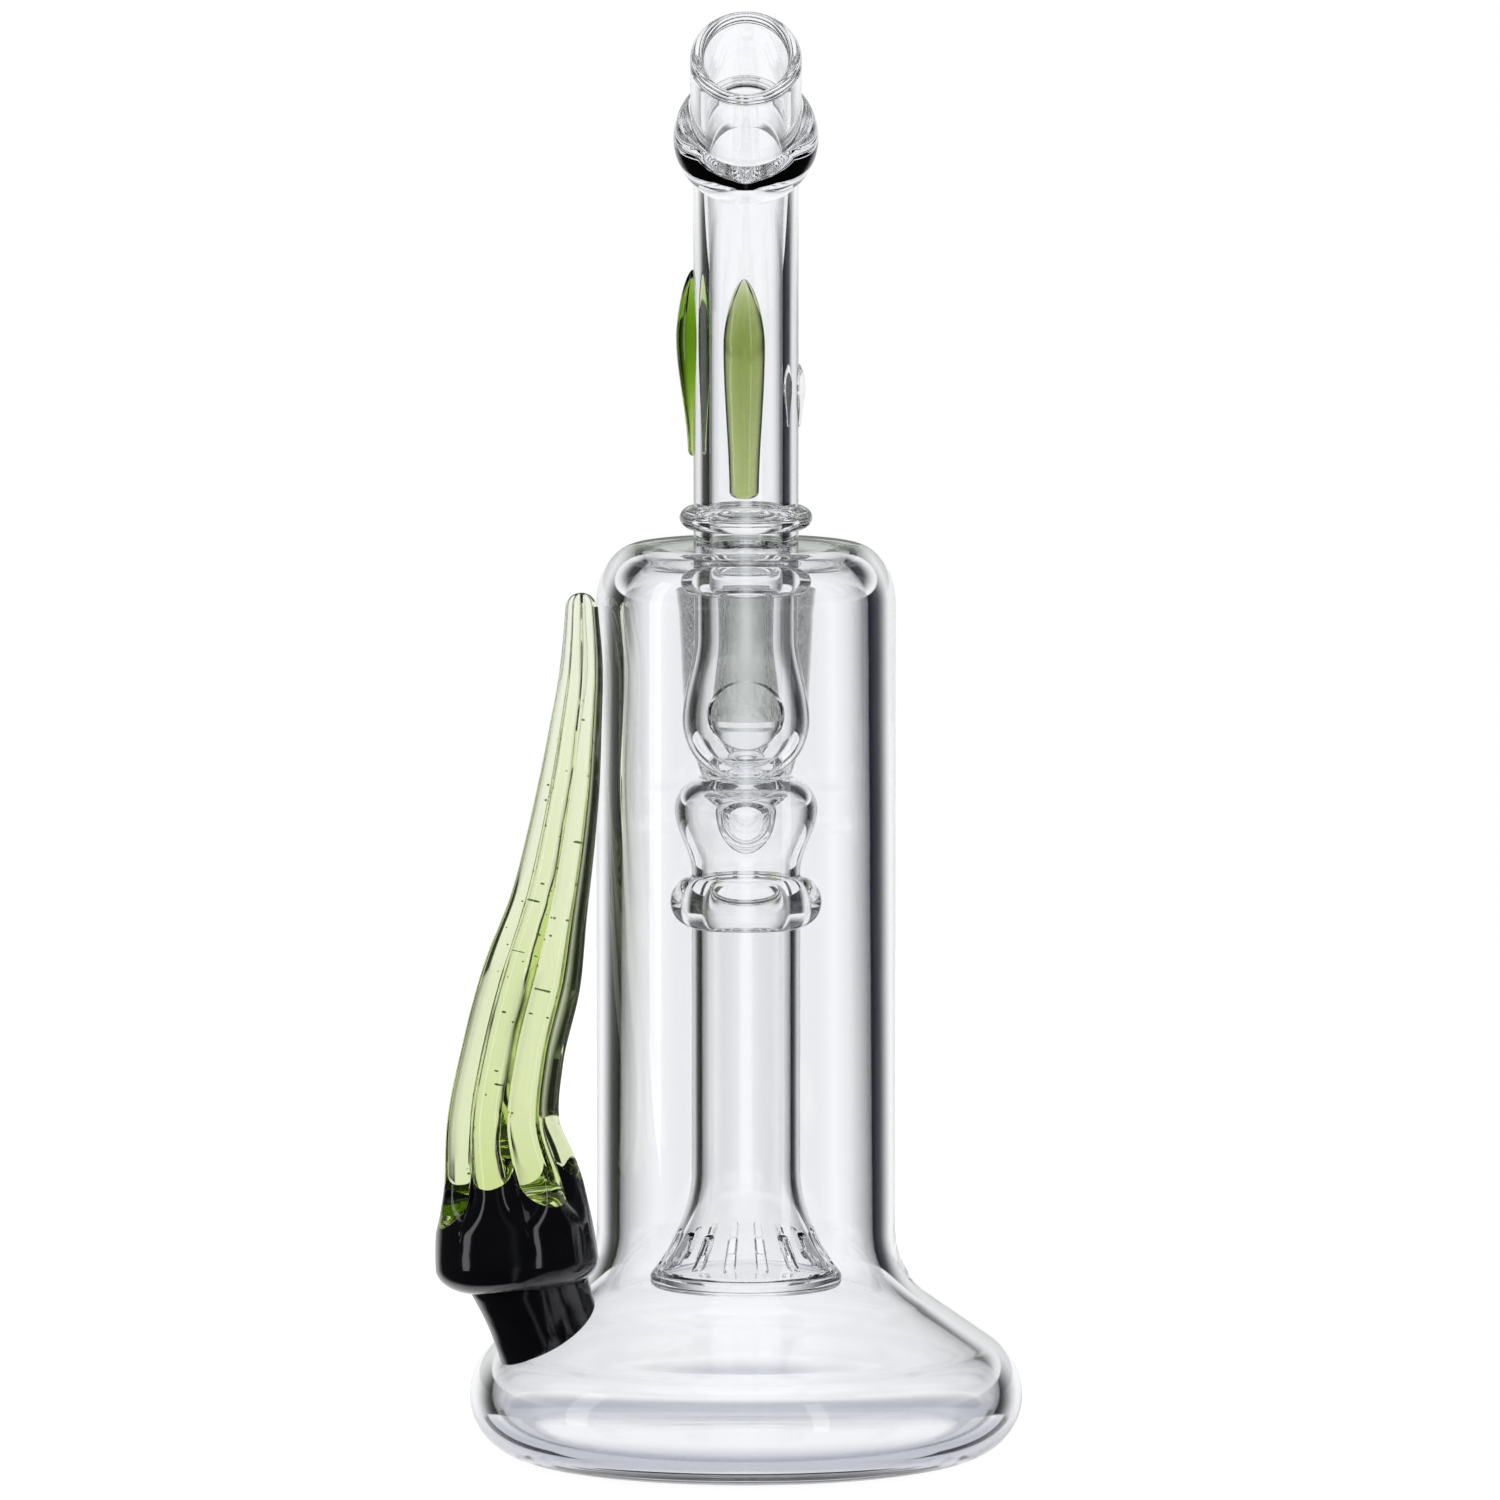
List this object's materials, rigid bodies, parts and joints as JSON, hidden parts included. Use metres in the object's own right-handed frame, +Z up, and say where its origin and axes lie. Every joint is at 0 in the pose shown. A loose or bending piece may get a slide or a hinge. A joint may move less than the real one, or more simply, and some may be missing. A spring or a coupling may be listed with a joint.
{
  "type": "glass bubbler water pipe",
  "caption": "Lamp-worked clear glass bubbler: straight can on a bell foot, bent neck and mouthpiece, showerhead percolator, rear ground joint, green horn.",
  "frame": {"origin": "centre of the flat underside of the bell foot, on the can's axis", "axes": "+Z up along the can; the mouthpiece leans to -Y; the ground joint stands at +Y; the horn is at -X"},
  "size_m": [0.082, 0.0887, 0.2046],
  "materials": {
    "clear_glass": "fire-polished clear borosilicate glass",
    "ground_glass": "clear glass with a frosted ground bore",
    "green_glass": "fire-polished yellow-green coloured glass with fine bubbles",
    "black_glass": "fire-polished opaque black glass"
  },
  "bodies": {
    "root": {"can_body": "clear_glass", "bell_foot": "clear_glass", "neck_tube": "clear_glass", "upper_neck_ring": "clear_glass", "lower_neck_ring": "clear_glass", "mouth_ring": "clear_glass", "mouthpiece": "clear_glass", "front_leaf": "green_glass", "side_leaf": "green_glass", "clear_drop": "clear_glass", "splash_guard": "clear_glass", "guard_weld": "clear_glass", "perc_bulb": "clear_glass", "perc_ring": "clear_glass", "perc_stem": "clear_glass", "shower_skirt": "clear_glass", "shower_floor": "clear_glass", "inlet_tube": "clear_glass", "inlet_seal_ring": "clear_glass", "joint_elbow": "clear_glass", "joint_socket": "ground_glass", "horn_body": "green_glass", "horn_cuff": "black_glass", "horn_root": "black_glass"}
  },
  "joints": []
}
